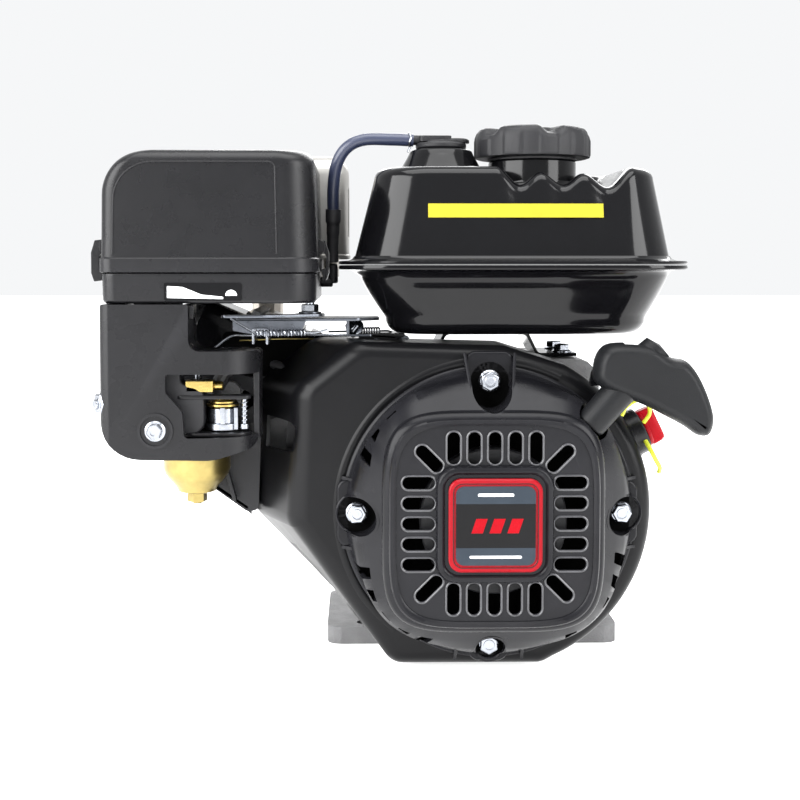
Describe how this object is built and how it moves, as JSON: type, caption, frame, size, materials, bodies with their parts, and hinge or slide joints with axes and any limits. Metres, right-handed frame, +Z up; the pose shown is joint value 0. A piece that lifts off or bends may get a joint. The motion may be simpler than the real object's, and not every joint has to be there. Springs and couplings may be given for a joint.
{
  "type": "small gasoline engine",
  "caption": "Single-cylinder horizontal-shaft petrol engine with recoil starter, top fuel tank, boxed air cleaner and side output shaft.",
  "frame": {"origin": "centre of the base's underside, below the crankshaft axis", "axes": "+Z up, +Y along the crankshaft out of the output end, -Y out of the starter end, the cylinder leans to -X"},
  "size_m": [0.3937, 0.321, 0.3585],
  "materials": {
    "cast_aluminium": "sand-cast, matt with a fine grain",
    "machined_steel": "ground and oiled",
    "gloss_black": "gloss black enamel on pressed steel",
    "black_plastic": "satin black moulding",
    "starter_black": "satin black powder coat",
    "black_rubber": "black rubber",
    "hose_rubber": "blue-black fuel hose",
    "zinc_steel": "bright zinc plate",
    "gold_zinc": "yellow zinc plate",
    "guard_silver": "aluminium-coated sheet",
    "muffler_steel": "heat-toned aluminised steel",
    "red_plastic": "gloss red",
    "ceramic": "glazed white ceramic",
    "foam": "open-cell foam and paper",
    "rope": "braided cord"
  },
  "bodies": {
    "engine": {"crankcase": "cast_aluminium", "crankcase_cover": "cast_aluminium", "front_main_bearing": "machined_steel", "rear_main_bearing": "machined_steel", "cylinder_head": "cast_aluminium", "rocker_cover": "gloss_black", "spark_plug": "ceramic", "spark_plug_cap": "black_rubber", "ignition_coil": "black_plastic", "fan_cover": "gloss_black", "cylinder_shroud": "gloss_black", "starter_housing": "starter_black", "badge_plate": "red_plastic", "fuel_tank_lower": "gloss_black", "fuel_tank_upper": "gloss_black", "tank_vent": "black_plastic", "vent_hose": "hose_rubber", "tank_bracket": "gloss_black", "air_cleaner_base": "black_plastic", "air_filter": "foam", "carburetor_spacer": "black_plastic", "carburetor": "cast_aluminium", "float_bowl": "gold_zinc", "carburetor_cover": "black_plastic", "muffler": "muffler_steel", "muffler_guard": "guard_silver", "control_plate": "zinc_steel", "switch_base": "black_plastic"},
    "crank": {"crankshaft_front": "machined_steel", "crankshaft_rear": "machined_steel", "flywheel": "cast_aluminium", "cooling_fan": "black_plastic", "starter_cup": "zinc_steel"},
    "cam": {"camshaft": "machined_steel"},
    "piston": {"piston": "cast_aluminium", "wrist_pin": "machined_steel"},
    "rod": {"connecting_rod": "cast_aluminium", "crank_pin": "machined_steel"},
    "intake_rocker": {"intake_rocker": "machined_steel"},
    "intake_valve": {"intake_valve": "machined_steel"},
    "intake_pushrod": {"intake_pushrod": "machined_steel"},
    "exhaust_rocker": {"exhaust_rocker": "machined_steel"},
    "exhaust_valve": {"exhaust_valve": "machined_steel"},
    "exhaust_pushrod": {"exhaust_pushrod": "machined_steel"},
    "grip": {"starter_grip": "black_plastic"},
    "reel": {"starter_reel": "black_plastic", "starter_rope": "rope"},
    "cap_seal": {"fuel_cap_seal": "black_rubber"},
    "cap": {"fuel_cap": "black_plastic"},
    "air_cover": {"air_cleaner_cover": "black_plastic"},
    "latch_left": {"cover_latch_left": "black_plastic"},
    "latch_right": {"cover_latch_right": "black_plastic"},
    "throttle_lever": {"throttle_lever": "zinc_steel"},
    "governor_arm": {"governor_arm": "zinc_steel"},
    "throttle_rod": {"throttle_rod": "zinc_steel"},
    "throttle_butterfly": {"throttle_butterfly": "zinc_steel"},
    "choke": {"choke_lever": "black_plastic"},
    "fuel_tap": {"fuel_tap_lever": "black_plastic"},
    "stop_switch": {"switch_knob": "red_plastic"},
    "dipstick": {"oil_dipstick": "black_plastic"}
  },
  "joints": [
    {"name": "crank_spin", "type": "hinge", "parent": "engine", "child": "crank", "pos_m": [0, 0, 0.106], "axis": [0, 1, 0], "continuous": true},
    {"name": "cam_spin", "type": "hinge", "parent": "engine", "child": "cam", "pos_m": [0.03149, 0, 0.14987], "axis": [0, 1, 0], "continuous": true},
    {"name": "piston_stroke", "type": "slide", "parent": "engine", "child": "piston", "axis": [0.9063, 0, -0.4226], "range_m": [0, 0.054]},
    {"name": "rod_swing", "type": "hinge", "parent": "piston", "child": "rod", "pos_m": [-0.1006, 0, 0.15291], "axis": [0, 1, 0], "range_deg": [-18.7, 18.7]},
    {"name": "intake_rocker_tilt", "type": "hinge", "parent": "engine", "child": "intake_rocker", "pos_m": [-0.19075, 0, 0.2104], "axis": [0, -1, 0], "range_deg": [0, 17]},
    {"name": "intake_valve_lift", "type": "slide", "parent": "engine", "child": "intake_valve", "axis": [0.9063, 0, -0.4226], "range_m": [0, 0.0068]},
    {"name": "intake_pushrod_lift", "type": "slide", "parent": "engine", "child": "intake_pushrod", "axis": [-0.9403, 0, 0.3403], "range_m": [0, 0.006], "stiffness_N_per_m": 4000, "springref_m": -0.01},
    {"name": "exhaust_rocker_tilt", "type": "hinge", "parent": "engine", "child": "exhaust_rocker", "pos_m": [-0.19075, 0, 0.2104], "axis": [0, -1, 0], "range_deg": [0, 17]},
    {"name": "exhaust_valve_lift", "type": "slide", "parent": "engine", "child": "exhaust_valve", "axis": [0.9063, 0, -0.4226], "range_m": [0, 0.0068]},
    {"name": "exhaust_pushrod_lift", "type": "slide", "parent": "engine", "child": "exhaust_pushrod", "axis": [-0.9403, 0, 0.3403], "range_m": [0, 0.006], "stiffness_N_per_m": 4000, "springref_m": -0.01},
    {"name": "starter_pull", "type": "slide", "parent": "engine", "child": "grip", "axis": [0.6524, 0, 0.7578], "range_m": [0, 0.6], "stiffness_N_per_m": 12, "springref_m": -0.6},
    {"name": "reel_spin", "type": "hinge", "parent": "engine", "child": "reel", "pos_m": [0, 0, 0.106], "axis": [0, 1, 0], "range_deg": [0, 1000]},
    {"name": "fuel_cap_lift", "type": "slide", "parent": "engine", "child": "cap_seal", "axis": [0, 0, 1], "range_m": [0, 0.09]},
    {"name": "fuel_cap_turn", "type": "hinge", "parent": "cap_seal", "child": "cap", "pos_m": [0.036, -0.045, 0.345], "axis": [0, 0, 1], "range_deg": [0, 90]},
    {"name": "air_cover_lift", "type": "slide", "parent": "engine", "child": "air_cover", "axis": [0, 0, 1], "range_m": [0, 0.13]},
    {"name": "latch_left_swing", "type": "hinge", "parent": "air_cover", "child": "latch_left", "pos_m": [-0.2485, -0.078, 0.2805], "axis": [0, 1, 0], "range_deg": [0, 75]},
    {"name": "latch_right_swing", "type": "hinge", "parent": "air_cover", "child": "latch_right", "pos_m": [-0.1075, -0.065, 0.2805], "axis": [0, -1, 0], "range_deg": [0, 20]},
    {"name": "throttle_lever_swing", "type": "hinge", "parent": "engine", "child": "throttle_lever", "pos_m": [-0.116, -0.084, 0.231], "axis": [0, 0, 1], "range_deg": [-25, 25]},
    {"name": "governor_arm_swing", "type": "hinge", "parent": "engine", "child": "governor_arm", "pos_m": [-0.052, -0.05, 0.184], "axis": [0, 1, 0], "range_deg": [0, 12]},
    {"name": "throttle_rod_slide", "type": "slide", "parent": "engine", "child": "throttle_rod", "axis": [1, 0, 0], "range_m": [0, 0.0069], "stiffness_N_per_m": 180, "springref_m": -0.006},
    {"name": "throttle_butterfly_turn", "type": "hinge", "parent": "engine", "child": "throttle_butterfly", "pos_m": [-0.192, -0.068, 0.172], "axis": [0, 0, 1], "range_deg": [-42, 0]},
    {"name": "choke_turn", "type": "hinge", "parent": "engine", "child": "choke", "pos_m": [-0.192, -0.092, 0.172], "axis": [1, 0, 0], "range_deg": [-70, 0]},
    {"name": "fuel_tap_turn", "type": "hinge", "parent": "engine", "child": "fuel_tap", "pos_m": [-0.189, -0.115, 0.1505], "axis": [0, 1, 0], "range_deg": [0, 90]},
    {"name": "stop_switch_turn", "type": "hinge", "parent": "engine", "child": "stop_switch", "pos_m": [0.09732, -0.088, 0.15283], "axis": [0.9011, 0, 0.4337], "range_deg": [0, 40]},
    {"name": "dipstick_pull", "type": "slide", "parent": "engine", "child": "dipstick", "axis": [0.9397, 0, 0.342], "range_m": [0, 0.06]}
  ],
  "couplings": [
    {"joint": "cam_spin", "follows": "crank_spin", "ratio": -0.5},
    {"joint": "reel_spin", "follows": "starter_pull", "rad_per_m": 28.6},
    {"joint": "governor_arm_swing", "follows": "throttle_rod_slide", "rad_per_m": 30.3},
    {"joint": "throttle_butterfly_turn", "follows": "throttle_rod_slide", "rad_per_m": -100},
    {"joint": "intake_rocker_tilt", "follows": "intake_pushrod_lift", "rad_per_m": 48.78},
    {"joint": "intake_valve_lift", "follows": "intake_pushrod_lift", "ratio": 1.063},
    {"joint": "exhaust_rocker_tilt", "follows": "exhaust_pushrod_lift", "rad_per_m": 48.78},
    {"joint": "exhaust_valve_lift", "follows": "exhaust_pushrod_lift", "ratio": 1.063}
  ]
}
